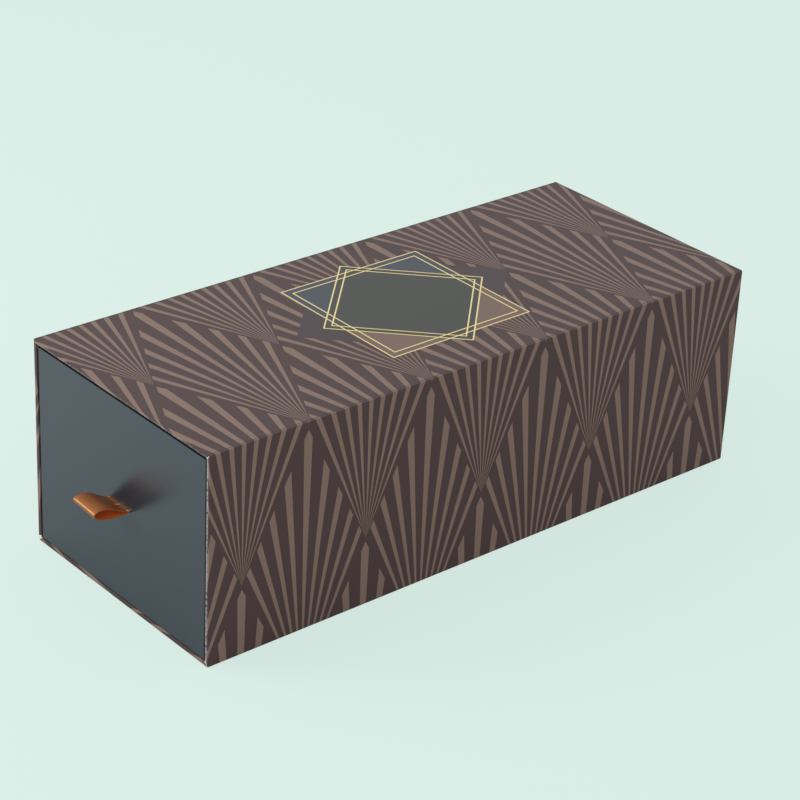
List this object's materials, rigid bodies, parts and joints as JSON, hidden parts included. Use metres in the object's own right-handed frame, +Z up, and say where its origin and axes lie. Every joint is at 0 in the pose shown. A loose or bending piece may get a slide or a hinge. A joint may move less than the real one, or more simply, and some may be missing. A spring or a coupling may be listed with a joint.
{
  "type": "sliding drawer gift box",
  "caption": "Rigid paper-wrapped box: a printed sleeve closed at the back and a slate drawer that slides out of its mouth by a strap loop.",
  "frame": {"origin": "on the surface that the box stands on, under the middle of the sleeve", "axes": "+X across the width, -Y the way the drawer opens, +Z up"},
  "size_m": [0.127, 0.3226, 0.1001],
  "materials": {
    "greyboard": "raw grey board",
    "stay_tape": "gummed kraft paper",
    "printed_paper": "offset printed, matt laminated",
    "lining_paper": "uncoated dyed paper",
    "slate_paper": "matt dyed paper",
    "strap": "smooth tan, semi-matt",
    "gold_foil": "hot stamped gold foil"
  },
  "bodies": {
    "sleeve": {"sleeve_top_board": "greyboard", "sleeve_bottom_board": "greyboard", "sleeve_left_board": "greyboard", "sleeve_right_board": "greyboard", "sleeve_back_board": "greyboard", "sleeve_edge_tape_top_left": "stay_tape", "sleeve_edge_tape_top_right": "stay_tape", "sleeve_edge_tape_bottom_left": "stay_tape", "sleeve_edge_tape_bottom_right": "stay_tape", "sleeve_wrap": "printed_paper", "sleeve_back_sheet": "printed_paper", "sleeve_base_sheet": "printed_paper", "sleeve_lining": "lining_paper", "gold_foil_frame": "gold_foil"},
    "drawer": {"drawer_base_board": "greyboard", "drawer_left_board": "greyboard", "drawer_right_board": "greyboard", "drawer_front_board": "greyboard", "drawer_back_board": "greyboard", "drawer_corner_tape_front_left": "stay_tape", "drawer_corner_tape_front_right": "stay_tape", "drawer_corner_tape_back_left": "stay_tape", "drawer_corner_tape_back_right": "stay_tape", "drawer_wrap": "slate_paper", "drawer_wall_lining": "slate_paper", "drawer_floor_lining": "slate_paper", "pull_upper_tail": "strap", "pull_lower_tail": "strap"},
    "pull": {"pull_loop": "strap"}
  },
  "joints": [
    {"name": "drawer_slide", "type": "slide", "parent": "sleeve", "child": "drawer", "axis": [0, -1, 0], "range_m": [0, 0.302]},
    {"name": "pull_flex", "type": "hinge", "parent": "drawer", "child": "pull", "pos_m": [-0.0002, -0.1526, 0.0479], "axis": [1, 0, 0], "range_deg": [-20, 20], "stiffness_Nm_per_rad": 0.004}
  ]
}
